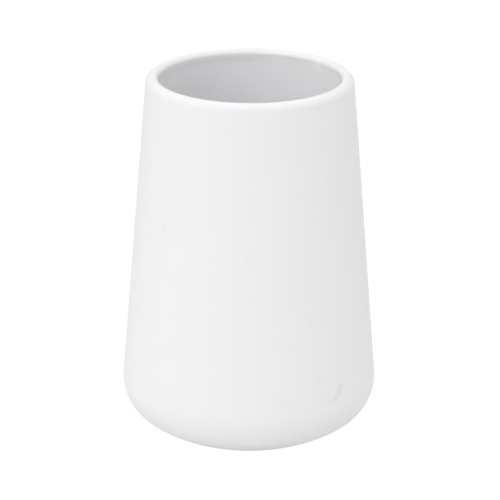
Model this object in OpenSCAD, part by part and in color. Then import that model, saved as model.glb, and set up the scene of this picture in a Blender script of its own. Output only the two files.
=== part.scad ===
// Bathroom tumbler: a ceramic cup with a rounded base, a straight tapered side and a rolled lip.
// A matte coat covers the outside and the lip, a glossy glaze lines the inside, and a foam pad is
// stuck in the recess under the foot.
// The cup and its two skins are turned from one outline: each face of a layer is that outline drawn
// in by its own depth, so that neighbouring layers share their faces exactly.
// The tumbler stands on its pad at height zero, centred on the upright axis. Lengths are in
// millimetres.

/* [Overall size] */
// Height from the surface that it stands on to the top of the lip
height = 116.3; // [95:0.1:140]
// Diameter at its widest, where the rounded base meets the side
widest_d = 80; // [74:0.5:96]

/* [Outline] */
// Lean of the straight side, in degrees from upright
side_taper = 4.65; // [2:0.05:7]
// Radius of the rounded base under the side
corner_r = 14; // [11:0.5:17]
// Angle below level at which the rounded base runs into the flatter sweep
corner_turn = 55; // [45:1:62]
// Radius of the flatter sweep between the rounded base and the foot
sweep_r = 40; // [32:1:50]
// Outer diameter of the foot
foot_d = 46; // [42:0.5:50]
// Radius of the outer half of the rolled lip
lip_outer_r = 2.5; // [2.2:0.1:3.2]

/* [Cup] */
// Thickness of the finished wall, coat and glaze included
wall_t = 3.8; // [3.5:0.1:5]
// Thickness of the finished floor above the recess
floor_t = 5; // [4:0.1:7]
// Radius inside the cup between the wall and the floor
inner_corner_r = 11; // [8:0.5:14]

/* [Surface layers] */
// Thickness of the matte coat on the outside and the lip
coat_t = 0.2; // [0.1:0.05:0.5]
// Thickness of the glossy glaze on the inside
glaze_t = 0.3; // [0.15:0.05:0.6]
// Length of coated wall below the inner half of the lip, down to where the glaze begins
coat_overlap = 1; // [0.5:0.1:4]

/* [Foot and pad] */
// Width of the bare ring that the recess leaves under the foot
foot_ring_w = 3.5; // [2.5:0.1:5]
// Depth of the recess inside the ring
recess_depth = 1.2; // [0.9:0.1:1.8]
// Radius that rounds the recess's two edges
recess_round_r = 0.4; // [0.2:0.05:0.45]
// Thickness of the foam pad
pad_t = 1.8; // [1.6:0.1:3]
// Gap round the pad, to where the recess's round begins
pad_gap = 0.6; // [0.3:0.1:1.5]
// Radius on the pad's lower edge
pad_edge_r = 0.4; // [0.2:0.1:0.8]
// Thickness of the adhesive film over the pad
adhesive_t = 0.15; // [0.1:0.05:0.3]

/* [Hidden] */

// Flats round the whole circle, and the turn in degrees between the points of an arc
$fn = 180;
arc_step = 3;

ceramic_colour = [0.93, 0.92, 0.89];
glaze_colour = [0.86, 0.86, 0.89];
coat_colour = [0.96, 0.96, 0.96];
pad_colour = [0.8, 0.8, 0.8];
adhesive_colour = [0.9, 0.88, 0.82];

// Levels under the foot, from the standing surface up
recess_z = pad_t + adhesive_t;
foot_z = recess_z - recess_depth;
floor_z = recess_z + floor_t;

// The rounded base and the sweep touch at corner_turn, and the sweep ends at the foot's edge
foot_r = foot_d / 2;
corner_centre_r = widest_d / 2 - corner_r;
sweep_centre_r = corner_centre_r - (sweep_r - corner_r) * cos(corner_turn);
foot_turn = acos((foot_r - sweep_centre_r) / sweep_r);
sweep_centre = [sweep_centre_r, foot_z + sweep_r * sin(foot_turn)];
corner_centre = [corner_centre_r, sweep_centre.y - (sweep_r - corner_r) * sin(corner_turn)];

// Directions square to the straight side, outwards, and along it, downwards
side_out = [cos(side_taper), sin(side_taper)];
side_down = [sin(side_taper), -cos(side_taper)];

// How far the wall's two faces lie from the origin, measured along side_out
outer_reach = corner_centre * side_out + corner_r;
inner_reach = outer_reach - wall_t;

// The lip's two halves meet at the top, and each runs into its own face of the wall
lip_outer_centre = centre_against(outer_reach, lip_outer_r, height - lip_outer_r);
lip_inner_r = (lip_outer_centre.x * cos(side_taper) + height * sin(side_taper) - inner_reach)
    / (1 + sin(side_taper));
lip_inner_centre = [lip_outer_centre.x, height - lip_inner_r];

// The round between the inner wall and the floor touches both
inner_centre = centre_against(inner_reach, inner_corner_r, floor_z + inner_corner_r);

recess_r = foot_r - foot_ring_w;
pad_r = recess_r - recess_round_r - pad_gap;

// Centre, at a given height, of a round that touches the side that lies reach from the origin
function centre_against(reach, radius, centre_z) =
    [(reach - radius - centre_z * sin(side_taper)) / cos(side_taper), centre_z];

// Point at an angle round a centre
function polar(centre, radius, angle) = centre + radius * [cos(angle), sin(angle)];

// Points along an arc, without its first point, where the stretch before it already ends
function arc_on(centre, radius, from, to) =
    let (steps = ceil(abs(to - from) / arc_step))
    [for (i = [1 : steps]) polar(centre, radius, from + (to - from) * i / steps)];

function reversed(points) = [for (i = [len(points) - 1 : -1 : 0]) points[i]];

// Where the coat ends and the glaze begins, on the inner wall at a depth below its face
function skin_joint(depth) =
    polar(lip_inner_centre, lip_inner_r - depth, 180 + side_taper) + coat_overlap * side_down;

// The coated surface at a depth: foot, sweep, rounded base, straight side and both halves of the lip
function outside_line(depth) = concat(
    [polar(sweep_centre, sweep_r - depth, -foot_turn)],
    arc_on(sweep_centre, sweep_r - depth, -foot_turn, -corner_turn),
    arc_on(corner_centre, corner_r - depth, -corner_turn, 0),
    arc_on(corner_centre, corner_r - depth, 0, side_taper),
    [polar(lip_outer_centre, lip_outer_r - depth, side_taper)],
    arc_on(lip_outer_centre, lip_outer_r - depth, side_taper, 90),
    arc_on(lip_inner_centre, lip_inner_r - depth, 90, 180 + side_taper),
    [skin_joint(depth)]
);

// The glazed surface at a depth: inner wall, inner corner and floor, to the axis
function inside_line(depth) = concat(
    [skin_joint(depth), polar(inner_centre, inner_corner_r + depth, side_taper)],
    arc_on(inner_centre, inner_corner_r + depth, side_taper, -90),
    [[0, floor_z - depth]]
);

// The underside from the foot's edge inwards: bare ring, the recess's two rounded edges and its roof
function underside_line() = concat(
    [[outside_line(coat_t)[0].x, foot_z], [recess_r + recess_round_r, foot_z]],
    arc_on([recess_r + recess_round_r, foot_z + recess_round_r], recess_round_r, 270, 180),
    [[recess_r, recess_z - recess_round_r]],
    arc_on([recess_r - recess_round_r, recess_z - recess_round_r], recess_round_r, 0, 90),
    [[0, recess_z]]
);

// A layer turned about the axis, between two lines that run the same way
module turned_layer(face, back) {
    rotate_extrude()
        polygon(concat(face, reversed(back)));
}

// Cast and fired cup, between the coat and the glaze
module ceramic_body() {
    color(ceramic_colour)
        turned_layer(concat(outside_line(coat_t), inside_line(glaze_t)), underside_line());
}

// Glossy lining
module inner_glaze() {
    color(glaze_colour)
        turned_layer(inside_line(0), inside_line(glaze_t));
}

// Matte coat, from the foot's edge over the lip
module outer_coat() {
    color(coat_colour)
        turned_layer(outside_line(0), outside_line(coat_t));
}

// Die-cut foam disc that the tumbler stands on
module base_pad() {
    color(pad_colour)
        rotate_extrude()
            polygon(concat(
                [[0, 0], [pad_r - pad_edge_r, 0]],
                arc_on([pad_r - pad_edge_r, pad_edge_r], pad_edge_r, -90, 0),
                [[pad_r, pad_t], [0, pad_t]]
            ));
}

// Film that sticks the pad to the recess
module pad_adhesive() {
    color(adhesive_colour)
        translate([0, 0, pad_t])
            cylinder(h = adhesive_t, r = pad_r);
}

ceramic_body();
inner_glaze();
outer_coat();
base_pad();
pad_adhesive();
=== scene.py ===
"""Bathroom tumbler: a ceramic cup with a matte white coat outside and a cool, glossy glaze inside.

Each piece is turned as the cup is made: its outline is drawn in the plane of X and Z with arcs and
straight runs, and spun once round the upright axis. Lengths are in metres.
"""

import math

import bmesh
import bpy
from bpy.props import FloatProperty, FloatVectorProperty, IntProperty, PointerProperty
from bpy.types import Operator, Panel, PropertyGroup
from mathutils import Matrix, Vector


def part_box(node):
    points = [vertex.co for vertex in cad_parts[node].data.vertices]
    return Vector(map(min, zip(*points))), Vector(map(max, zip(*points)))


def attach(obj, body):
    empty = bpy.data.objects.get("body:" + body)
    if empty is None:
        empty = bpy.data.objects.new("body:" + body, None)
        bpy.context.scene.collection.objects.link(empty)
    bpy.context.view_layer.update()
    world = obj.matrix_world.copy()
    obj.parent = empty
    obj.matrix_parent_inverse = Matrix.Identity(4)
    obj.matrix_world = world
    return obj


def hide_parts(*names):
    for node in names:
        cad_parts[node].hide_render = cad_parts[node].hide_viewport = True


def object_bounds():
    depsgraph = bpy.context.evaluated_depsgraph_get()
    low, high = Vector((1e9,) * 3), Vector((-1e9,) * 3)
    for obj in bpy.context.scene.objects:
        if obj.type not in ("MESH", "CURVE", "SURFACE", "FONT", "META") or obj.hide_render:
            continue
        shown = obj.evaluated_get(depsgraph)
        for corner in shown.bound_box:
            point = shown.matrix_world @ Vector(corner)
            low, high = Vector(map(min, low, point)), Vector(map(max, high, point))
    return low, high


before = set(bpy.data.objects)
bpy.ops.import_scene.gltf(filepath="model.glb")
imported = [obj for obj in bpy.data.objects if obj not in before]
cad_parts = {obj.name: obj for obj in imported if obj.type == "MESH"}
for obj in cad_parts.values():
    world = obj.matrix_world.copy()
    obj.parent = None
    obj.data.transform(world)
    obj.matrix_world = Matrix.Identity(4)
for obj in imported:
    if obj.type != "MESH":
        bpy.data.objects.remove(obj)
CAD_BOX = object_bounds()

bl_info = {
    "name": "Bathroom Tumbler",
    "version": (1, 0, 0),
    "blender": (4, 5, 0),
    "location": "3D View > Sidebar > Tumbler",
    "description": "Turns a coated ceramic tumbler with its foam pad and sets it in a white studio",
    "category": "Add Mesh",
}

# Points closer than this are the same point
SAME_PLACE = 1e-7

# An edge between faces that turn by more than this is crisp, and gets a small round
CREASE = math.radians(32)

# Faces that turn by less than this are shaded as one, so an arc's are and a small round's aren't
ONE_FACE = math.radians(8)

# The cup's radius: the least reach of the CAD box, so that the round stays inside it
CUP_R = min(-CAD_BOX[0].x, -CAD_BOX[0].y, CAD_BOX[1].x, CAD_BOX[1].y)

# Steps that a small round is made of
ROUND_STEPS = 3

WHITE = (1.0, 1.0, 1.0, 1.0)

# Strength of the white that the camera sees round the tumbler, over full so that no grain shows
BACKDROP = 1.04

# Parts of a full turn
QUARTER = math.radians(90)
HALF = math.radians(180)


def length(name, description, default):
    """A length in metres."""
    return FloatProperty(
        name=name,
        description=description,
        default=default,
        min=0.0,
        precision=5,
        subtype="DISTANCE",
        unit="LENGTH",
    )


def angle(name, description, degrees):
    """An angle, given in degrees."""
    return FloatProperty(
        name=name,
        description=description,
        default=math.radians(degrees),
        precision=3,
        subtype="ANGLE",
        unit="ROTATION",
    )


def colour(name, description, default):
    """A colour as light that the surface sends back."""
    return FloatVectorProperty(
        name=name,
        description=description,
        default=default,
        min=0.0,
        max=1.0,
        precision=3,
        subtype="COLOR",
    )


def share(name, description, default):
    """A number from nought to one."""
    return FloatProperty(
        name=name,
        description=description,
        default=default,
        min=0.0,
        max=1.0,
        precision=3,
        subtype="FACTOR",
    )


class CupSizes(PropertyGroup):
    """The cup's outline, outside and inside."""

    height: length("Height", "From the standing surface to the top of the lip", CAD_BOX[1].z)
    widest_r: length("Widest Radius", "Where the rounded base meets the side", CUP_R)
    side_taper: angle("Side Taper", "Lean of the straight side from upright", 4.65)
    corner_r: length("Corner Radius", "Rounded base under the side", 0.014)
    corner_turn: angle("Corner Turn", "Angle below level where the base turns flatter", 55)
    sweep_r: length("Sweep Radius", "Flatter sweep from the rounded base to the foot", 0.04)
    foot_r: length("Foot Radius", "Outer radius of the foot", 0.023)
    lip_outer_r: length("Lip Radius", "Outer half of the rolled lip", 0.0025)
    wall_t: length("Wall", "Finished wall, coat and glaze included", 0.0038)
    floor_t: length("Floor", "Finished floor above the recess", 0.005)
    inner_corner_r: length("Inner Corner Radius", "Between the wall and the floor inside", 0.011)


class SkinSizes(PropertyGroup):
    """The two layers on the ceramic."""

    coat_t: length("Coat", "Thickness of the matte coat", 0.0002)
    glaze_t: length("Glaze", "Thickness of the glaze", 0.0003)
    coat_overlap: length("Coat Overlap", "Coated wall below the inner half of the lip", 0.001)
    edge_r: length("Edge", "Rounding where a layer ends", 0.00002)


class FootSizes(PropertyGroup):
    """The foot, its recess, the foam pad and the film that holds it."""

    foot_z: length("Foot Level", "Underside of the foot ring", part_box("ceramic_body")[0].z)
    ring_w: length("Ring Width", "Bare ring round the recess", 0.0035)
    ring_edge_r: length("Ring Edge", "Rounding on the ring's outer edge", 0.00009)
    recess_round_r: length("Recess Edge", "Rounding on the recess's two edges", 0.0004)
    pad_r: length("Pad Radius", "Radius of the foam pad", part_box("base_pad")[1].x)
    pad_t: length("Pad", "Thickness of the foam pad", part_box("base_pad")[1].z)
    pad_edge_r: length("Pad Lower Edge", "Rounding where the pad meets the floor", 0.0004)
    pad_top_edge_r: length("Pad Upper Edge", "Rounding on the pad's cut edge", 0.00015)
    film_t: length(
        "Film",
        "Thickness of the adhesive film",
        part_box("pad_adhesive")[1].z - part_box("pad_adhesive")[0].z,
    )


class LatheSettings(PropertyGroup):
    """How finely the pieces are turned."""

    steps: IntProperty(
        name="Steps Round",
        description="Faces round the whole circle",
        default=192,
        min=16,
        max=512,
    )
    arc_step: angle("Arc Step", "Largest turn between the points of an arc", 3)
    longest_edge: length("Longest Edge", "Largest gap between the points of an outline", 0.003)


class FinishColours(PropertyGroup):
    """Colours of the pieces, and the coat's sheen."""

    coat: colour("Coat", "Matte white coat", (0.867, 0.867, 0.867))
    coat_shade: colour("Coat Shade", "Where the coat lies thinner", (0.857, 0.857, 0.855))
    # Painted light: lighter coat over the lip's inner round, into the mouth
    coat_inside_painted_light: colour("Coat Inside", "Where the coat thins out over the glaze", (0.949, 0.949, 0.949))
    # Painted shade: darker coat where it ends under the lip
    coat_end_shade: colour("Coat End", "Last of the coat before the glaze", (0.885, 0.885, 0.885))
    sheen: share("Coat Sheen", "Weight of the faint gloss over the coat", 0.217)
    rubbed: colour("Rubbed Mark", "Grey of a mark on the coat", (0.6, 0.6, 0.6))
    # Painted shade: glaze made darker just under the lip, where the lip shades it
    glaze_painted_shade: colour("Thin Glaze", "Glaze that has run thin just under the lip", (0.862, 0.862, 0.864))
    glaze: colour("Glaze", "Even glaze on the wall", (0.921, 0.921, 0.923))
    # Cooler tone where the glaze lies thick, painted lighter there as well
    glaze_pool_and_painted_light: colour("Glaze Pool", "Cool tone where the glaze lies thick", (0.947, 0.939, 0.977))
    # Painted highlight: the pale patch on the right of the far wall
    glaze_painted_highlight: colour("Glaze Light Patch", "Thinner, lighter glaze", (0.99, 0.99, 0.99))
    ceramic: colour("Bare Ceramic", "Fired body under the foot", (0.76, 0.73, 0.68))
    # Also the painted shade in the pinholes
    ceramic_grain_and_pit_shade: colour("Ceramic Grain", "Darker grains in the body", (0.62, 0.59, 0.54))
    foam: colour("Foam", "Closed-cell foam pad", (0.6, 0.6, 0.6))
    foam_cell: colour("Foam Cells", "Shade in the foam's cells", (0.46, 0.46, 0.46))
    film: colour("Film", "Adhesive film", (0.78, 0.74, 0.64))
    film_fibre: colour("Film Fibres", "Fibres in the adhesive film", (0.7, 0.65, 0.54))


class StudioSettings(PropertyGroup):
    """Camera, light and floor."""

    distance: length("Distance", "From the camera to the point that it looks at", 0.9)
    elevation: angle("Elevation", "Height of the camera above level", 19.926)
    roll: angle("Roll", "Turn of the camera about its own line of sight", 0.222)
    aim: FloatVectorProperty(
        name="Aim",
        description="Point that the camera looks at",
        default=(0.0002, 0.0, 0.0591),
        subtype="TRANSLATION",
        unit="LENGTH",
    )
    lens: FloatProperty(
        name="Focal Length",
        description="Focal length in millimetres",
        default=206.3,
        unit="CAMERA",
    )
    light: FloatProperty(
        name="Light",
        description="Brightness of the surroundings straight above",
        default=1.342,
        min=0.0,
    )
    horizon_light: share("Horizon Light", "Brightness of the surroundings at the horizon", 0.685)
    light_lean: FloatVectorProperty(
        name="Light Lean",
        description="Share by which the surroundings are brighter along each axis",
        default=(0.087, 0.549, 0.0),
        subtype="XYZ",
    )
    back_light: share("Back Light", "Share of the surroundings' brightness left behind the tumbler", 0.371)
    lamp: FloatProperty(
        name="Lamp",
        description="Brightness that the soft lamp adds in its middle",
        default=1.972,
        min=0.0,
    )
    lamp_azimuth: angle("Lamp Azimuth", "From the front towards the right", -32)
    lamp_elevation: angle("Lamp Elevation", "Height of the lamp above level", 29.1)
    lamp_spread: angle("Lamp Spread", "From the lamp's middle to its faded edge", 31.1)
    floor_reach: length("Floor", "From the tumbler to the edge of the floor", 3.0)
    floor_tone: share("Floor Tone", "Share of the light that the floor sends back", 0.463)
    floor_glow: share("Floor Glow", "Light that the floor adds of its own", 0.439)
    floor_shade: share("Floor Shade", "Light that the floor adds beside the foot", 0.254)
    shade_reach: length("Shade Reach", "From the axis to where the floor's shade ends", 0.077)
    floor_back: share("Floor Back", "Share of the floor's own light left behind the tumbler", 0.541)


class Outline:
    """Centres, radii and levels of the cup's outline, worked out from its sizes."""

    def __init__(self, scene):
        cup, skins, foot = scene.cup_sizes, scene.skin_sizes, scene.foot_sizes
        self.cup, self.skins, self.foot = cup, skins, foot
        self.side_down = Vector((math.sin(cup.side_taper), -math.cos(cup.side_taper)))

        self.recess_z = foot.pad_t + foot.film_t
        self.floor_z = self.recess_z + cup.floor_t
        self.recess_r = cup.foot_r - foot.ring_w

        # The sweep touches the corner where the base turns flatter, in line with both their centres
        corner_x = cup.widest_r - cup.corner_r
        apart = cup.sweep_r - cup.corner_r
        sweep_x = corner_x - apart * math.cos(cup.corner_turn)
        self.foot_turn = math.acos((cup.foot_r - sweep_x) / cup.sweep_r)
        self.sweep_centre = Vector((sweep_x, foot.foot_z + cup.sweep_r * math.sin(self.foot_turn)))
        self.corner_centre = Vector((corner_x, self.sweep_centre.y - apart * math.sin(cup.corner_turn)))

        side_out = Vector((math.cos(cup.side_taper), math.sin(cup.side_taper)))
        outer_reach = self.corner_centre.dot(side_out) + cup.corner_r
        inner_reach = outer_reach - cup.wall_t
        self.lip_outer_centre = self.centre_against(
            outer_reach, cup.lip_outer_r, cup.height - cup.lip_outer_r
        )
        # The lip's inner half meets its outer half at the top and touches the inner wall's face
        lip_reach = self.lip_outer_centre.x * side_out.x + cup.height * side_out.y
        self.lip_inner_r = (lip_reach - inner_reach) / (1 + side_out.y)
        self.lip_inner_centre = Vector((self.lip_outer_centre.x, cup.height - self.lip_inner_r))
        self.inner_centre = self.centre_against(
            inner_reach, cup.inner_corner_r, self.floor_z + cup.inner_corner_r
        )

    def centre_against(self, reach, radius, level):
        """Centre, at a given level, of a round that touches the leaning line at that reach."""
        taper = self.cup.side_taper
        return Vector(((reach - radius - level * math.sin(taper)) / math.cos(taper), level))

    def skin_joint(self, depth):
        """Where the coat ends and the glaze begins, at a depth below the inner wall's face."""
        across = HALF + self.cup.side_taper
        return (
            polar(self.lip_inner_centre, self.lip_inner_r - depth, across)
            + self.skins.coat_overlap * self.side_down
        )


def polar(centre, radius, turn):
    """Point at a radius and an angle round a centre."""
    return centre + radius * Vector((math.cos(turn), math.sin(turn)))


class Pen:
    """Draws an outline in the plane of X and Z by extruding and spinning its last point."""

    def __init__(self, bm, lathe, start):
        self.bm = bm
        self.lathe = lathe
        self.first = bm.verts.new((start.x, 0, start.y))
        self.tip = self.first

    def line_to(self, end):
        """Draws a straight run in equal steps."""
        run = Vector((end.x, 0, end.y)) - self.tip.co
        steps = math.ceil(run.length / self.lathe.longest_edge)
        for _ in range(steps):
            grown = bmesh.ops.extrude_vert_indiv(self.bm, verts=[self.tip])
            self.tip = grown["verts"][0]
            bmesh.ops.translate(self.bm, verts=[self.tip], vec=run / steps)

    def arc(self, centre, turn):
        """Draws an arc round a centre, anticlockwise where the turn is above nought."""
        middle = Vector((centre.x, 0, centre.y))
        arc_length = abs(turn) * (self.tip.co - middle).length
        steps = math.ceil(max(abs(turn) / self.lathe.arc_step, arc_length / self.lathe.longest_edge))
        spun = bmesh.ops.spin(
            self.bm,
            geom=[self.tip],
            cent=middle,
            axis=(0, -1, 0),
            angle=turn,
            steps=steps,
            use_merge=False,
        )
        self.tip = next(item for item in spun["geom_last"] if isinstance(item, bmesh.types.BMVert))


def draw_outside(bm, scene, outline, depth):
    """Draws the coated face at a depth, from the foot's edge over the lip to the skins' joint."""
    cup = scene.cup_sizes
    pen = Pen(bm, scene.lathe, polar(outline.sweep_centre, cup.sweep_r - depth, -outline.foot_turn))
    pen.arc(outline.sweep_centre, outline.foot_turn - cup.corner_turn)
    pen.arc(outline.corner_centre, cup.corner_turn)
    pen.arc(outline.corner_centre, cup.side_taper)
    pen.line_to(polar(outline.lip_outer_centre, cup.lip_outer_r - depth, cup.side_taper))
    pen.arc(outline.lip_outer_centre, QUARTER - cup.side_taper)
    pen.arc(outline.lip_inner_centre, QUARTER + cup.side_taper)
    pen.line_to(outline.skin_joint(depth))
    return pen


def draw_inside(pen, scene, outline, depth):
    """Goes on from the skins' joint down the inner wall and across the floor to the axis."""
    cup = scene.cup_sizes
    pen.line_to(polar(outline.inner_centre, cup.inner_corner_r + depth, cup.side_taper))
    pen.arc(outline.inner_centre, -QUARTER - cup.side_taper)
    pen.line_to(Vector((0, outline.floor_z - depth)))
    return pen


def draw_underside(bm, scene, outline):
    """Draws the bare ring and the recess from the coat's end to the axis."""
    foot = scene.foot_sizes
    rim = polar(
        outline.sweep_centre, scene.cup_sizes.sweep_r - scene.skin_sizes.coat_t, -outline.foot_turn
    )
    turned_in = outline.recess_r + foot.recess_round_r
    turned_up = outline.recess_r - foot.recess_round_r
    pen = Pen(bm, scene.lathe, rim)
    pen.line_to(Vector((rim.x, foot.foot_z)))
    pen.line_to(Vector((turned_in, foot.foot_z)))
    pen.arc(Vector((turned_in, foot.foot_z + foot.recess_round_r)), -QUARTER)
    pen.line_to(Vector((outline.recess_r, outline.recess_z - foot.recess_round_r)))
    pen.arc(Vector((turned_up, outline.recess_z - foot.recess_round_r)), QUARTER)
    pen.line_to(Vector((0, outline.recess_z)))


def draw_disc(bm, scene, radius, low, high, lower_round):
    """Draws a disc's outline from the axis out along its underside and back over its top."""
    pen = Pen(bm, scene.lathe, Vector((0, low)))
    if lower_round:
        pen.line_to(Vector((radius - lower_round, low)))
        pen.arc(Vector((radius - lower_round, low + lower_round)), QUARTER)
    else:
        pen.line_to(Vector((radius, low)))
    pen.line_to(Vector((radius, high)))
    pen.line_to(Vector((0, high)))


def join_ends(bm, one, other):
    """Draws one edge between two points of an outline."""
    bmesh.ops.contextual_create(bm, geom=[one, other])


def turn_on_lathe(bm, lathe):
    """Spins the outline once round the upright axis into a closed skin that faces outwards."""
    bmesh.ops.remove_doubles(bm, verts=bm.verts[:], dist=SAME_PLACE)
    bmesh.ops.spin(
        bm,
        geom=bm.verts[:] + bm.edges[:],
        cent=(0, 0, 0),
        axis=(0, 0, 1),
        angle=math.tau,
        steps=lathe.steps,
        use_merge=True,
    )
    bmesh.ops.remove_doubles(bm, verts=bm.verts[:], dist=SAME_PLACE)
    bmesh.ops.dissolve_degenerate(bm, dist=SAME_PLACE, edges=bm.edges[:])
    bmesh.ops.recalc_face_normals(bm, faces=bm.faces[:])


def round_crisp_edges(bm, radius, low, high):
    """Rounds the sharp edges between two levels."""
    crisp = [
        edge
        for edge in bm.edges
        if edge.calc_face_angle() > CREASE and all(low <= point.co.z <= high for point in edge.verts)
    ]
    bmesh.ops.bevel(
        bm,
        geom=crisp,
        offset=radius,
        offset_type="OFFSET",
        affect="EDGES",
        segments=ROUND_STEPS,
        profile=0.5,
        clamp_overlap=True,
        material=-1,
    )


def finish_piece(bm, name, node, material):
    """Makes the piece's object, gives it its finish and puts it in its CAD node's place."""
    if any(len(edge.link_faces) != 2 for edge in bm.edges):
        raise RuntimeError(f"{name} isn't closed")
    for face in bm.faces:
        face.smooth = True
    for edge in bm.edges:
        edge.smooth = edge.calc_face_angle() < ONE_FACE
    mesh = bpy.data.meshes.new(name)
    bm.to_mesh(mesh)
    bm.free()
    mesh.materials.append(material)
    piece = bpy.data.objects.new(name, mesh)
    bpy.context.scene.collection.objects.link(piece)
    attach(piece, "root")
    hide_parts(node)


def add_node(tree, kind, inputs, **settings):
    """Adds a node, with its settings and with its inputs set to values or joined to outputs."""
    made = tree.nodes.new(kind)
    for name, value in settings.items():
        setattr(made, name, value)
    for name, value in inputs.items():
        if isinstance(value, bpy.types.NodeSocket):
            tree.links.new(value, made.inputs[name])
        else:
            made.inputs[name].default_value = value
    return made


def maths(tree, operation, *values):
    """Output of a Math node."""
    return add_node(tree, "ShaderNodeMath", dict(enumerate(values)), operation=operation).outputs[0]


def scaled(tree, value, by, plus):
    """A value times one number, plus another."""
    return maths(tree, "MULTIPLY_ADD", value, by, plus)


def ease(tree, value, start, end, first=0.0, last=1.0):
    """Eases from the first number to the last while the value goes from start to end."""
    limits = {"From Min": start, "From Max": end, "To Min": first, "To Max": last}
    ramp = add_node(
        tree, "ShaderNodeMapRange", {"Value": value, **limits}, interpolation_type="SMOOTHSTEP"
    )
    return ramp.outputs["Result"]


def mix_colours(tree, factor, one, other):
    """Colour between two colours."""
    # A Mix node has sockets for each kind of value under the same names: these are the colours'
    first_colour, second_colour, result = 6, 7, 2
    inputs = {0: factor, first_colour: one, second_colour: other}
    return add_node(tree, "ShaderNodeMix", inputs, data_type="RGBA").outputs[result]


def dot_product(tree, one, other):
    """How far one direction goes along the other."""
    product = add_node(tree, "ShaderNodeVectorMath", {0: one, 1: other}, operation="DOT_PRODUCT")
    return product.outputs["Value"]


def bump(tree, height, strength, distance, **under):
    """Normal that follows a height, laid over another normal if one is given."""
    inputs = {"Strength": strength, "Distance": distance, "Height": height, **under}
    return add_node(tree, "ShaderNodeBump", inputs).outputs[0]


def new_group(name, inputs, outputs):
    """Starts a shader group: the group, the sockets that it reads and the ones that it fills."""
    group = bpy.data.node_groups.new(name, "ShaderNodeTree")
    for label, default in inputs.items():
        socket = group.interface.new_socket(label, in_out="INPUT", socket_type="NodeSocketFloat")
        socket.default_value = default
    for label in outputs:
        group.interface.new_socket(label, in_out="OUTPUT", socket_type="NodeSocketFloat")
    return group, group.nodes.new("NodeGroupInput").outputs, group.nodes.new("NodeGroupOutput").inputs


def use_group(tree, build, **inputs):
    """Outputs of a shader group, which is built the first time that it is asked for."""
    group = bpy.data.node_groups.get(build.__name__) or build(build.__name__)
    labelled = {name.replace("_", " ").title(): value for name, value in inputs.items()}
    return add_node(tree, "ShaderNodeGroup", labelled, node_tree=group).outputs


def round_position(name):
    """Group: where a point lies round the axis, out from it and above the floor."""
    group, _, out = new_group(name, {}, ["Azimuth", "Radius", "Height"])
    place = add_node(group, "ShaderNodeTexCoord", {}).outputs["Object"]
    x, y, z = add_node(group, "ShaderNodeSeparateXYZ", {0: place}).outputs
    towards_viewer = maths(group, "MULTIPLY", y, -1.0)
    square = scaled(group, x, by=x, plus=maths(group, "MULTIPLY", y, y))
    group.links.new(maths(group, "ARCTAN2", x, towards_viewer), out["Azimuth"])
    group.links.new(maths(group, "SQRT", square), out["Radius"])
    group.links.new(z, out["Height"])
    return group


def grain(name):
    """Group: soft irregular grain, for clouding, peel and fine tooth alike."""
    group, given, out = new_group(name, {"Size": 0.001, "Detail": 2.0, "Seed": 0.0}, ["Grain"])
    noise = add_node(
        group,
        "ShaderNodeTexNoise",
        {
            "Vector": add_node(group, "ShaderNodeTexCoord", {}).outputs["Object"],
            "W": given["Seed"],
            "Scale": maths(group, "DIVIDE", 1.0, given["Size"]),
            "Detail": given["Detail"],
        },
        noise_dimensions="4D",
    )
    group.links.new(noise.outputs["Fac"], out["Grain"])
    return group


def dots(name):
    """Group: scattered round dots, for specks, pinholes and foam cells."""
    group, given, out = new_group(name, {"Spacing": 0.002, "Dot": 0.0002, "Rarity": 0.5}, ["Mask"])
    cells = add_node(
        group,
        "ShaderNodeTexVoronoi",
        {
            "Vector": add_node(group, "ShaderNodeTexCoord", {}).outputs["Object"],
            "Scale": maths(group, "DIVIDE", 1.0, given["Spacing"]),
        },
    )
    reach = maths(group, "MULTIPLY", cells.outputs["Distance"], given["Spacing"])
    dot = ease(group, reach, start=0.0, end=given["Dot"], first=1.0, last=0.0)
    chance = add_node(group, "ShaderNodeSeparateColor", {0: cells.outputs["Color"]})
    kept = maths(group, "GREATER_THAN", chance.outputs[0], given["Rarity"])
    group.links.new(maths(group, "MULTIPLY", dot, kept), out["Mask"])
    return group


def rubbed_mark_and_highlight(name):
    """Group: one faint mark on the wall, a dot or part of a ring, used for the rubbed marks and for the
    painted highlight.
    """
    given_values = {
        "Azimuth": 0.0,
        "Height": 0.05,
        "Wall Radius": 0.035,
        "Ring Radius": 0.0,
        "Middle": 0.0,
        "Spread": 10.0,
        "Width": 0.001,
    }
    group, given, out = new_group(name, given_values, ["Mask"])
    place = use_group(group, round_position)
    turned = maths(group, "SUBTRACT", place["Azimuth"], given["Azimuth"])
    across = maths(group, "MULTIPLY", turned, given["Wall Radius"])
    up = maths(group, "SUBTRACT", place["Height"], given["Height"])
    square = scaled(group, across, by=across, plus=maths(group, "MULTIPLY", up, up))
    reach = maths(group, "SQRT", square)
    off_ring = maths(group, "ABSOLUTE", maths(group, "SUBTRACT", reach, given["Ring Radius"]))
    line = ease(group, off_ring, start=0.0, end=given["Width"], first=1.0, last=0.0)
    direction = maths(group, "ARCTAN2", up, across)
    aside = maths(group, "ABSOLUTE", maths(group, "SUBTRACT", direction, given["Middle"]))
    ends = ease(group, aside, start=0.0, end=given["Spread"], first=1.0, last=0.0)
    group.links.new(maths(group, "MULTIPLY", line, ends), out["Mask"])
    return group


def new_finish(name, **constants):
    """Starts a material whose shader has the given constants on its own sockets."""
    material = bpy.data.materials.new(name)
    material.use_nodes = True
    shader = material.node_tree.nodes["Principled BSDF"]
    for label, value in constants.items():
        shader.inputs[label.replace("_", " ")].default_value = value
    return material, material.node_tree, shader


def lead_to(tree, shader, **outputs):
    """Joins what changes over the surface to the shader."""
    for label, output in outputs.items():
        tree.links.new(output, shader.inputs[label.replace("_", " ")])


def rgba(value):
    """A colour with full opacity."""
    return (*value, 1.0)


# Spread, in degrees, that leaves a mark whole
ALL_ROUND = 720

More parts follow.
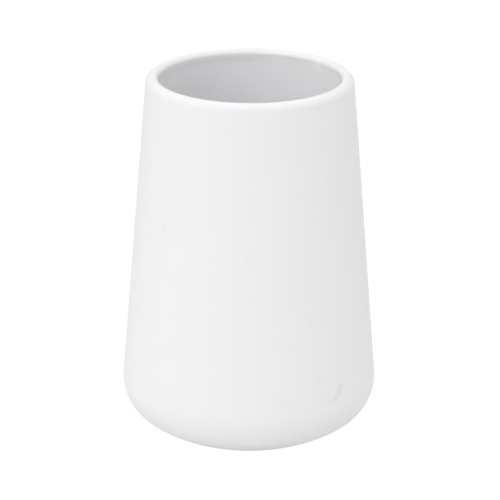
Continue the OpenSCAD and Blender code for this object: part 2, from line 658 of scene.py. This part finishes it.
# Spots on the coat: azimuth in degrees from the front towards the right, height, width and strength.
# Half a degree or half a millimetre is about as fine as the photograph shows a place
COAT_SPOTS = [
    (-47, 0.075, 0.002, 0.2),
    (-50.5, 0.073, 0.0012, 0.1),
    (-42.5, 0.0825, 0.0013, 0.1),
    (44, 0.0915, 0.0012, 0.15),
    (34.5, 0.079, 0.0012, 0.07),
    (-0.5, 0.069, 0.002, 0.06),
    (-32, 0.0535, 0.0013, 0.06),
    (25, 0.056, 0.0015, 0.07),
    (36, 0.053, 0.0014, 0.075),
    (29.5, 0.0475, 0.0017, 0.06),
    (-15.5, 0.039, 0.0014, 0.05),
    (32.5, 0.0285, 0.0024, 0.08),
]

# Curved scuffs on the coat, each part of a ring: the ring's azimuth, height and radius, the scuff's
# middle and spread round it in degrees, its width and its strength
COAT_SCUFFS = [
    (36, 0.0275, 0.0077, -23, 12, 0.0014, 0.17),
    (36, 0.0275, 0.0077, -38, 30, 0.0015, 0.27),
    (36, 0.0275, 0.0077, -62, 27, 0.0014, 0.13),
    (31, 0.095, 0.0405, -90, 9, 0.0014, 0.055),
    (17, 0.025, 0.0022, -90, 70, 0.001, 0.08),
]


def painted_highlight_patch(tree, outline):
    """Mask of the painted highlight on the right of the far wall, across the joint of coat and glaze."""
    patch = use_group(
        tree,
        rubbed_mark_and_highlight,
        azimuth=math.radians(131),
        height=0.1145,
        wall_radius=outline.inner_centre.x,
        width=0.0033,
    )
    return patch["Mask"]


def coat_turned_in(tree, place, outline):
    """Masks of the coat inside the mouth, which is painted lighter over the lip's inner round, and of its
    last part before the glaze, which gets painted shade.
    """
    centre, radius = outline.lip_inner_centre, outline.lip_inner_r
    joint_z = outline.skin_joint(0).y
    # The coat starts to change at this share of the inner round's radius. Its last part lies this
    # much higher than the run from the round's centre to the joint
    turned_share = 0.7
    end_lift = 0.0003
    inwards = ease(tree, place["Radius"], start=centre.x - turned_share * radius, end=centre.x - radius)
    high = maths(tree, "GREATER_THAN", place["Height"], joint_z - SAME_PLACE)
    inside = maths(tree, "MULTIPLY", inwards, high)
    # Mask of the painted shade where the coat ends under the lip
    end_shade = ease(tree, place["Height"], start=centre.y + end_lift, end=joint_z + end_lift)
    return inside, maths(tree, "MULTIPLY", end_shade, inside)


def coat_wear(tree, place, outline):
    """Mask of the coat's wear: specks, marks and the lower edge."""
    speck_strength = 0.1
    # How strongly the lower edge is rubbed, and how far up
    edge_strength = 0.35
    edge_reach = 0.0012
    specks = use_group(tree, dots, spacing=0.006, dot=0.00025, rarity=0.6)["Mask"]
    wear = maths(tree, "MULTIPLY", specks, speck_strength)
    spots = [
        (azimuth, height, 0.0, 0.0, ALL_ROUND, width, strength)
        for azimuth, height, width, strength in COAT_SPOTS
    ]
    for azimuth, height, ring_r, middle, spread, width, strength in spots + COAT_SCUFFS:
        mark = use_group(
            tree,
            rubbed_mark_and_highlight,
            azimuth=math.radians(azimuth),
            height=height,
            wall_radius=outline.cup.widest_r,
            ring_radius=ring_r,
            middle=math.radians(middle),
            spread=math.radians(spread),
            width=width,
        )
        wear = scaled(tree, mark["Mask"], by=strength, plus=wear)
    foot_z = outline.foot.foot_z
    rubbing = use_group(tree, grain, size=0.0016, detail=4.0, seed=7.0)["Grain"]
    low = ease(
        tree, place["Height"], start=foot_z, end=foot_z + edge_reach, first=edge_strength, last=0.0
    )
    return scaled(tree, low, by=rubbing, plus=wear)


def soft_touch_coat(scene):
    """Matte white coat: clouded, pebbled and worn, and glossier where it turns into the mouth, with
    painted light over the lip's inner round, painted shade where it ends under the lip and part of a
    painted highlight.
    """
    colours, outline = scene.finish_colours, Outline(scene)
    material, tree, shader = new_finish(
        "soft_touch_coat", IOR=1.45, Specular_IOR_Level=0.225, Coat_IOR=1.5, Coat_Roughness=0.3
    )
    place = use_group(tree, round_position)
    cloud = use_group(tree, grain, size=0.022, detail=3.0, seed=1.0)["Grain"]
    inside, end_shade = coat_turned_in(tree, place, outline)
    patch = maths(tree, "MULTIPLY", painted_highlight_patch(tree, outline), inside)
    wear = coat_wear(tree, place, outline)
    tint = mix_colours(tree, cloud, rgba(colours.coat), rgba(colours.coat_shade))
    # Painted light over the lip's inner round
    tint = mix_colours(tree, inside, tint, rgba(colours.coat_inside_painted_light))
    # Painted shade where the coat ends under the lip
    tint = mix_colours(tree, end_shade, tint, rgba(colours.coat_end_shade))
    # Painted highlight where the pale patch crosses the coat
    tint = mix_colours(tree, patch, tint, rgba(colours.glaze_painted_highlight))
    tint = mix_colours(tree, wear, tint, rgba(colours.rubbed))
    roughness = scaled(tree, cloud, by=0.08, plus=0.58)
    tooth = use_group(tree, grain, size=0.00045, detail=2.0, seed=3.0)["Grain"]
    peel = use_group(tree, grain, size=0.0035, detail=1.0, seed=5.0)["Grain"]
    pebbled = bump(tree, tooth, strength=0.25, distance=0.00003)
    lead_to(
        tree,
        shader,
        Base_Color=tint,
        Roughness=scaled(tree, wear, by=-0.3, plus=roughness),
        Coat_Weight=scaled(tree, inside, by=1.0 - colours.sheen, plus=colours.sheen),
        Normal=bump(tree, peel, strength=0.3, distance=0.00006, Normal=pebbled),
    )
    return material


def cool_glaze(scene):
    """Glossy lining: faint waves, a cooler tone where it lies thick, painted lighter there, painted shade
    just under the lip and a painted highlight on the right.
    """
    colours, outline = scene.finish_colours, Outline(scene)
    material, tree, shader = new_finish("cool_glaze", IOR=1.5)
    # Depths below the joint at which the painted shade under the lip ends, and at which the glaze is
    # thickest, its cooler tone and painted light full
    shade_depth = 0.0035
    pool_depth = 0.019
    place = use_group(tree, round_position)
    height = place["Height"]
    aside = maths(tree, "SINE", place["Azimuth"])
    cloud = use_group(tree, grain, size=0.016, detail=2.0, seed=11.0)["Grain"]
    wave = use_group(tree, grain, size=0.012, detail=1.0, seed=13.0)["Grain"]
    joint_z = outline.skin_joint(0).y
    # Little of the thick glaze's cooler tone and painted light reaches the far left, and painted shade
    # darkens the glaze just under the lip from the left to past the middle
    low = ease(tree, height, start=joint_z, end=joint_z - pool_depth)
    high = ease(tree, height, start=joint_z - shade_depth, end=joint_z)
    thick = maths(tree, "MULTIPLY", low, ease(tree, aside, start=-0.95, end=-0.4, first=0.1, last=1.0))
    pool_and_light = maths(tree, "MULTIPLY", thick, scaled(tree, cloud, by=0.3, plus=0.85))
    shaded_left = ease(tree, aside, start=-0.2, end=0.45, first=1.0, last=0.0)
    # The glaze's own cooler tone where it lies thick, painted lighter there as well, deep down and away
    # from the far left
    tint = mix_colours(tree, pool_and_light, rgba(colours.glaze), rgba(colours.glaze_pool_and_painted_light))
    # Painted shade: darker glaze just under the lip, from the left to past the middle
    tint = mix_colours(tree, maths(tree, "MULTIPLY", shaded_left, high), tint, rgba(colours.glaze_painted_shade))
    # Painted highlight on the right of the far wall
    tint = mix_colours(tree, painted_highlight_patch(tree, outline), tint, rgba(colours.glaze_painted_highlight))
    lead_to(
        tree,
        shader,
        Base_Color=tint,
        Roughness=scaled(tree, cloud, by=0.08, plus=0.14),
        Normal=bump(tree, wave, strength=0.4, distance=0.0002),
    )
    return material


def bare_ceramic(scene):
    """Unglazed body: sandy grain and pinholes, greyed where the ring has been set down."""
    colours, outline = scene.finish_colours, Outline(scene)
    material, tree, shader = new_finish("bare_ceramic", IOR=1.5)
    # How strongly the ring is greyed, and how far up, and how much painted shade darkens a pinhole
    ring_strength = 0.45
    ring_reach = 0.0003
    hole_strength = 0.6
    place = use_group(tree, round_position)
    sand = use_group(tree, grain, size=0.0006, detail=5.0, seed=17.0)["Grain"]
    cloud = use_group(tree, grain, size=0.009, detail=2.0, seed=19.0)["Grain"]
    holes = use_group(tree, dots, spacing=0.0018, dot=0.00016, rarity=0.5)["Mask"]
    foot_z = outline.foot.foot_z
    ring = ease(
        tree, place["Height"], start=foot_z, end=foot_z + ring_reach, first=ring_strength, last=0.0
    )
    sandy = maths(tree, "MULTIPLY", sand, cloud)
    tint = mix_colours(tree, sandy, rgba(colours.ceramic), rgba(colours.ceramic_grain_and_pit_shade))
    tint = mix_colours(tree, maths(tree, "MULTIPLY", ring, cloud), tint, rgba(colours.rubbed))
    # Painted shade in the pinholes, in the grains' darker colour
    hole_shade = maths(tree, "MULTIPLY", holes, hole_strength)
    tint = mix_colours(tree, hole_shade, tint, rgba(colours.ceramic_grain_and_pit_shade))
    pitted = scaled(tree, holes, by=-2.0, plus=sand)
    lead_to(
        tree,
        shader,
        Base_Color=tint,
        Roughness=scaled(tree, sand, by=0.2, plus=0.72),
        Normal=bump(tree, pitted, strength=0.6, distance=0.00006),
    )
    return material


def foam_skin(scene):
    """Closed-cell foam: fine cells, unevenly pressed."""
    colours = scene.finish_colours
    material, tree, shader = new_finish("foam_skin", IOR=1.4)
    cells = use_group(tree, dots, spacing=0.0005, dot=0.00022, rarity=0.15)["Mask"]
    pressed = use_group(tree, grain, size=0.007, detail=3.0, seed=23.0)["Grain"]
    shade = maths(tree, "MULTIPLY", cells, scaled(tree, pressed, by=0.6, plus=0.35))
    dimpled = scaled(tree, cells, by=-1.0, plus=pressed)
    lead_to(
        tree,
        shader,
        Base_Color=mix_colours(tree, shade, rgba(colours.foam), rgba(colours.foam_cell)),
        Roughness=scaled(tree, pressed, by=0.15, plus=0.78),
        Normal=bump(tree, dimpled, strength=0.7, distance=0.00012),
    )
    return material


def adhesive_film(scene):
    """Creamy double-sided film with fine fibres."""
    colours = scene.finish_colours
    material, tree, shader = new_finish("adhesive_film", IOR=1.47)
    fibres = use_group(tree, grain, size=0.0008, detail=6.0, seed=29.0)["Grain"]
    lead_to(
        tree,
        shader,
        Base_Color=mix_colours(tree, fibres, rgba(colours.film), rgba(colours.film_fibre)),
        Roughness=scaled(tree, fibres, by=0.2, plus=0.3),
        Normal=bump(tree, fibres, strength=0.4, distance=0.00004),
    )
    return material


def seen_as_backdrop(tree, lit, backdrop, output):
    """Ends a tree with what lights the scene, which the camera sees as the backdrop."""
    path = add_node(tree, "ShaderNodeLightPath", {})
    inputs = {0: path.outputs["Is Camera Ray"], 1: lit.outputs[0], 2: backdrop.outputs[0]}
    either = add_node(tree, "ShaderNodeMixShader", inputs)
    add_node(tree, output, {"Surface": either.outputs[0]})


def studio_world(studio):
    """White surroundings, brightest overhead, dimmed behind, with a soft lamp on the left in front."""
    world = bpy.data.worlds.new("studio")
    world.use_nodes = True
    tree = world.node_tree
    tree.nodes.clear()
    direction = add_node(tree, "ShaderNodeTexCoord", {}).outputs["Generated"]
    axes = add_node(tree, "ShaderNodeSeparateXYZ", {0: direction}).outputs
    rise = ease(tree, axes["Z"], start=0.0, end=1.0, first=studio.horizon_light, last=studio.light)
    behind = ease(tree, axes["Y"], start=0.0, end=1.0, first=1.0, last=studio.back_light)
    dimmed = maths(tree, "MULTIPLY", rise, behind)
    lean = dot_product(tree, direction, studio.light_lean)
    around = scaled(tree, lean, by=dimmed, plus=dimmed)
    upright = Vector((0, -math.cos(studio.lamp_elevation), math.sin(studio.lamp_elevation)))
    towards_lamp = Matrix.Rotation(studio.lamp_azimuth, 3, "Z") @ upright
    facing = dot_product(tree, direction, towards_lamp)
    faded = math.cos(studio.lamp_spread)
    lamp = ease(tree, facing, start=faded, end=1.0, first=0.0, last=studio.lamp)
    strength = maths(tree, "ADD", around, lamp)
    light = add_node(tree, "ShaderNodeBackground", {"Strength": strength, "Color": WHITE})
    backdrop = add_node(tree, "ShaderNodeBackground", {"Strength": BACKDROP, "Color": WHITE})
    seen_as_backdrop(tree, light, backdrop, "ShaderNodeOutputWorld")
    return world


def floor_finish(studio):
    """Glowing pale floor, shaded round the foot, that the camera sees as the backdrop's white."""
    material = bpy.data.materials.new("studio_floor")
    material.use_nodes = True
    tree = material.node_tree
    tree.nodes.clear()
    # The floor dims behind the tumbler over twice the reach of the shade round its foot
    back_reach = 2.0 * studio.shade_reach
    tone = rgba((studio.floor_tone,) * 3)
    matte = add_node(tree, "ShaderNodeBsdfDiffuse", {"Color": tone})
    place = add_node(tree, "ShaderNodeTexCoord", {}).outputs["Object"]
    away = add_node(tree, "ShaderNodeVectorMath", {0: place}, operation="LENGTH").outputs["Value"]
    deep = add_node(tree, "ShaderNodeSeparateXYZ", {0: place}).outputs["Y"]
    shade = ease(
        tree, away, start=0.0, end=studio.shade_reach, first=studio.floor_shade, last=studio.floor_glow
    )
    behind = ease(tree, deep, start=0.0, end=back_reach, first=1.0, last=studio.floor_back)
    glow = add_node(tree, "ShaderNodeEmission", {"Strength": maths(tree, "MULTIPLY", shade, behind)})
    pale = add_node(tree, "ShaderNodeAddShader", {0: matte.outputs[0], 1: glow.outputs[0]})
    backdrop = add_node(tree, "ShaderNodeEmission", {"Color": WHITE, "Strength": BACKDROP})
    seen_as_backdrop(tree, pale, backdrop, "ShaderNodeOutputMaterial")
    return material


def studio_floor(studio):
    """Lays the floor under the tumbler."""
    bm = bmesh.new()
    bmesh.ops.create_grid(bm, x_segments=1, y_segments=1, size=studio.floor_reach)
    mesh = bpy.data.meshes.new("studio_floor")
    bm.to_mesh(mesh)
    bm.free()
    mesh.materials.append(floor_finish(studio))
    floor = bpy.data.objects.new("studio_floor", mesh)
    bpy.context.scene.collection.objects.link(floor)


def studio_camera(studio):
    """Camera at the height and distance that the tumbler is seen from."""
    lens = bpy.data.cameras.new("studio_camera")
    lens.lens = studio.lens
    camera = bpy.data.objects.new("studio_camera", lens)
    bpy.context.scene.collection.objects.link(camera)
    level = Vector((0, -math.cos(studio.elevation), math.sin(studio.elevation)))
    camera.matrix_world = (
        Matrix.Translation(Vector(studio.aim) + studio.distance * level)
        @ Matrix.Rotation(QUARTER - studio.elevation, 4, "X")
        @ Matrix.Rotation(studio.roll, 4, "Z")
    )
    return camera


class TUMBLER_OT_ceramic_body(Operator):
    """Turn the fired ceramic cup, with its foot ring and recess"""

    bl_idname = "tumbler.ceramic_body"
    bl_label = "Ceramic Body"
    bl_options = {"REGISTER", "UNDO"}

    def execute(self, context):
        scene = context.scene
        outline = Outline(scene)
        bm = bmesh.new()
        outside = draw_outside(bm, scene, outline, scene.skin_sizes.coat_t)
        # The pen starts anew at the joint, at the glaze's own depth
        inside = Pen(bm, scene.lathe, outline.skin_joint(scene.skin_sizes.glaze_t))
        draw_inside(inside, scene, outline, scene.skin_sizes.glaze_t)
        draw_underside(bm, scene, outline)
        join_ends(bm, outside.tip, inside.first)
        turn_on_lathe(bm, scene.lathe)
        foot_z = scene.foot_sizes.foot_z
        round_crisp_edges(bm, scene.foot_sizes.ring_edge_r, foot_z, foot_z + SAME_PLACE)
        finish_piece(bm, "tumbler_ceramic_body", "ceramic_body", bare_ceramic(scene))
        return {"FINISHED"}


class TUMBLER_OT_inner_glaze(Operator):
    """Line the cup with its glossy glaze"""

    bl_idname = "tumbler.inner_glaze"
    bl_label = "Inner Glaze"
    bl_options = {"REGISTER", "UNDO"}

    def execute(self, context):
        scene = context.scene
        outline = Outline(scene)
        bm = bmesh.new()
        depths = (0.0, scene.skin_sizes.glaze_t)
        face, back = (
            draw_inside(Pen(bm, scene.lathe, outline.skin_joint(depth)), scene, outline, depth)
            for depth in depths
        )
        join_ends(bm, face.first, back.first)
        turn_on_lathe(bm, scene.lathe)
        joint_z = outline.skin_joint(0).y
        round_crisp_edges(bm, scene.skin_sizes.edge_r, joint_z - SAME_PLACE, joint_z + SAME_PLACE)
        finish_piece(bm, "tumbler_inner_glaze", "inner_glaze", cool_glaze(scene))
        return {"FINISHED"}


class TUMBLER_OT_outer_coat(Operator):
    """Coat the outside and the lip with matte white"""

    bl_idname = "tumbler.outer_coat"
    bl_label = "Outer Coat"
    bl_options = {"REGISTER", "UNDO"}

    def execute(self, context):
        scene = context.scene
        outline = Outline(scene)
        bm = bmesh.new()
        face, back = (
            draw_outside(bm, scene, outline, depth) for depth in (0.0, scene.skin_sizes.coat_t)
        )
        join_ends(bm, face.first, back.first)
        join_ends(bm, face.tip, back.tip)
        turn_on_lathe(bm, scene.lathe)
        round_crisp_edges(bm, scene.skin_sizes.edge_r, 0.0, scene.cup_sizes.height)
        finish_piece(bm, "tumbler_outer_coat", "outer_coat", soft_touch_coat(scene))
        return {"FINISHED"}


class TUMBLER_OT_base_pad(Operator):
    """Cut the round foam pad under the foot"""

    bl_idname = "tumbler.base_pad"
    bl_label = "Base Pad"
    bl_options = {"REGISTER", "UNDO"}

    def execute(self, context):
        scene = context.scene
        foot = scene.foot_sizes
        bm = bmesh.new()
        draw_disc(bm, scene, foot.pad_r, 0.0, foot.pad_t, foot.pad_edge_r)
        turn_on_lathe(bm, scene.lathe)
        round_crisp_edges(bm, foot.pad_top_edge_r, foot.pad_t - SAME_PLACE, foot.pad_t + SAME_PLACE)
        finish_piece(bm, "tumbler_base_pad", "base_pad", foam_skin(scene))
        return {"FINISHED"}


class TUMBLER_OT_pad_adhesive(Operator):
    """Lay the adhesive film between the pad and the recess"""

    bl_idname = "tumbler.pad_adhesive"
    bl_label = "Pad Adhesive"
    bl_options = {"REGISTER", "UNDO"}

    def execute(self, context):
        scene = context.scene
        foot = scene.foot_sizes
        top = foot.pad_t + foot.film_t
        bm = bmesh.new()
        draw_disc(bm, scene, foot.pad_r, foot.pad_t, top, 0.0)
        turn_on_lathe(bm, scene.lathe)
        round_crisp_edges(bm, scene.skin_sizes.edge_r, foot.pad_t, top)
        finish_piece(bm, "tumbler_pad_adhesive", "pad_adhesive", adhesive_film(scene))
        return {"FINISHED"}


class TUMBLER_OT_studio(Operator):
    """Set up the camera, the white surroundings and the pale floor"""

    bl_idname = "tumbler.studio"
    bl_label = "Studio"
    bl_options = {"REGISTER", "UNDO"}

    def execute(self, context):
        scene = context.scene
        scene.world = studio_world(scene.studio)
        scene.camera = studio_camera(scene.studio)
        studio_floor(scene.studio)
        scene.view_settings.view_transform = "Standard"
        return {"FINISHED"}


class TUMBLER_PT_sidebar(Panel):
    """Sizes, colours and steps of the tumbler"""

    bl_idname = "TUMBLER_PT_sidebar"
    bl_label = "Bathroom Tumbler"
    bl_space_type = "VIEW_3D"
    bl_region_type = "UI"
    bl_category = "Tumbler"

    def draw(self, context):
        for label, group in SETTINGS.items():
            box = self.layout.box()
            box.label(text=group.__doc__)
            settings = getattr(context.scene, label)
            for name in group.__annotations__:
                box.prop(settings, name)
        for step in STEPS:
            self.layout.operator(step.bl_idname)


SETTINGS = {
    "cup_sizes": CupSizes,
    "skin_sizes": SkinSizes,
    "foot_sizes": FootSizes,
    "lathe": LatheSettings,
    "finish_colours": FinishColours,
    "studio": StudioSettings,
}

# The pieces in the order that they are put together, and the studio last
STEPS = [
    TUMBLER_OT_ceramic_body,
    TUMBLER_OT_inner_glaze,
    TUMBLER_OT_outer_coat,
    TUMBLER_OT_base_pad,
    TUMBLER_OT_pad_adhesive,
    TUMBLER_OT_studio,
]


def register():
    """Registers the settings, the steps and the sidebar."""
    for label, group in SETTINGS.items():
        bpy.utils.register_class(group)
        setattr(bpy.types.Scene, label, PointerProperty(type=group))
    for shown in [*STEPS, TUMBLER_PT_sidebar]:
        bpy.utils.register_class(shown)


def unregister():
    """Takes out what register put in."""
    for shown in reversed([*STEPS, TUMBLER_PT_sidebar]):
        bpy.utils.unregister_class(shown)
    for label, group in reversed(SETTINGS.items()):
        delattr(bpy.types.Scene, label)
        bpy.utils.unregister_class(group)


def main():
    """Builds every piece and the studio, and raises if a CAD part is left with nothing standing for it."""
    register()
    for step in STEPS:
        group, name = step.bl_idname.split(".")
        getattr(getattr(bpy.ops, group), name)()
    left = [name for name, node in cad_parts.items() if not node.hide_render]
    if left:
        raise RuntimeError(f"nothing stands for {left}")


if __name__ == "__main__":
    main()
